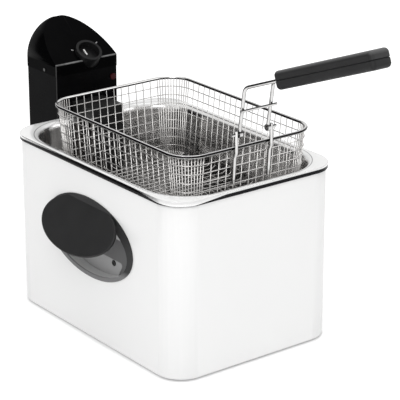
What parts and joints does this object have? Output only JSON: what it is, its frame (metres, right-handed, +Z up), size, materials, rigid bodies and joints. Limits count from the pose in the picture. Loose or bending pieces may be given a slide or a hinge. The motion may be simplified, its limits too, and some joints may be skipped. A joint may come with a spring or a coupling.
{
  "type": "deep fryer",
  "caption": "Countertop deep fryer: white painted housing, lift-out steel tank, black control head with a sloping knob panel, and a chrome wire basket with a folding handle.",
  "frame": {"origin": "on the table, under the middle of the housing", "axes": "+X to the right seen from the front, -Y out of the front wall along the basket handle, +Z up"},
  "size_m": [0.3014, 0.5958, 0.4055],
  "materials": {
    "white_enamel": "gloss",
    "base_steel": "matte",
    "polished_steel": "gloss",
    "black_plastic": "gloss",
    "dark_plastic": "satin",
    "grip_plastic": "satin",
    "pointer_white": "satin",
    "black_steel": "satin",
    "lamp_red": "gloss",
    "chrome_wire": "gloss",
    "heater_steel": "satin",
    "sheet_steel": "satin",
    "foot_rubber": "matte",
    "insulator": "matte"
  },
  "bodies": {
    "housing": {"housing_shell": "white_enamel", "base_plate": "base_steel", "rubber_foot_1": "foot_rubber", "rubber_foot_2": "foot_rubber", "rubber_foot_3": "foot_rubber", "rubber_foot_4": "foot_rubber", "carry_handle_left": "dark_plastic", "carry_handle_right": "dark_plastic"},
    "tank": {"tank": "polished_steel"},
    "head": {"head_body": "black_plastic", "head_cap": "black_plastic", "thermostat_body": "insulator", "pilot_lamp": "lamp_red", "cable_gland": "foot_rubber", "terminal_block": "insulator", "thermal_cutout": "insulator", "safety_switch": "insulator", "cap_screw_left": "sheet_steel", "cap_screw_right": "sheet_steel", "heater_carrier": "black_steel", "heater_flange": "sheet_steel", "heating_element": "heater_steel", "bulb_clip": "sheet_steel", "thermostat_bulb": "sheet_steel", "cutout_bulb": "sheet_steel"},
    "knob": {"thermostat_knob": "dark_plastic", "knob_pointer": "pointer_white"},
    "basket": {"basket_rim": "chrome_wire", "basket_front": "chrome_wire", "basket_back": "chrome_wire", "basket_left": "chrome_wire", "basket_right": "chrome_wire", "basket_corner_1": "chrome_wire", "basket_corner_2": "chrome_wire", "basket_corner_3": "chrome_wire", "basket_corner_4": "chrome_wire", "basket_floor": "chrome_wire", "handle_bar_left": "chrome_wire", "handle_bar_right": "chrome_wire"},
    "handle": {"handle_wire_left": "chrome_wire", "handle_wire_right": "chrome_wire", "handle_crossbar": "chrome_wire", "grip_upper": "grip_plastic", "grip_lower": "grip_plastic"}
  },
  "joints": [
    {"name": "tank_lift", "type": "slide", "parent": "housing", "child": "tank", "axis": [0, 0, 1], "range_m": [0, 0.2]},
    {"name": "head_lift", "type": "slide", "parent": "tank", "child": "head", "axis": [0, 0, 1], "range_m": [0, 0.07]},
    {"name": "knob_turn", "type": "hinge", "parent": "head", "child": "knob", "pos_m": [0.008, 0.17864, 0.28311], "axis": [0, -0.5446, 0.8387], "range_deg": [-135, 135]},
    {"name": "basket_lift", "type": "slide", "parent": "tank", "child": "basket", "axis": [0, 0, 1], "range_m": [-0.036, 0.16]},
    {"name": "handle_fold", "type": "hinge", "parent": "basket", "child": "handle", "pos_m": [0, -0.1525, 0.271], "axis": [-1, 0, 0], "range_deg": [0, 150]}
  ]
}
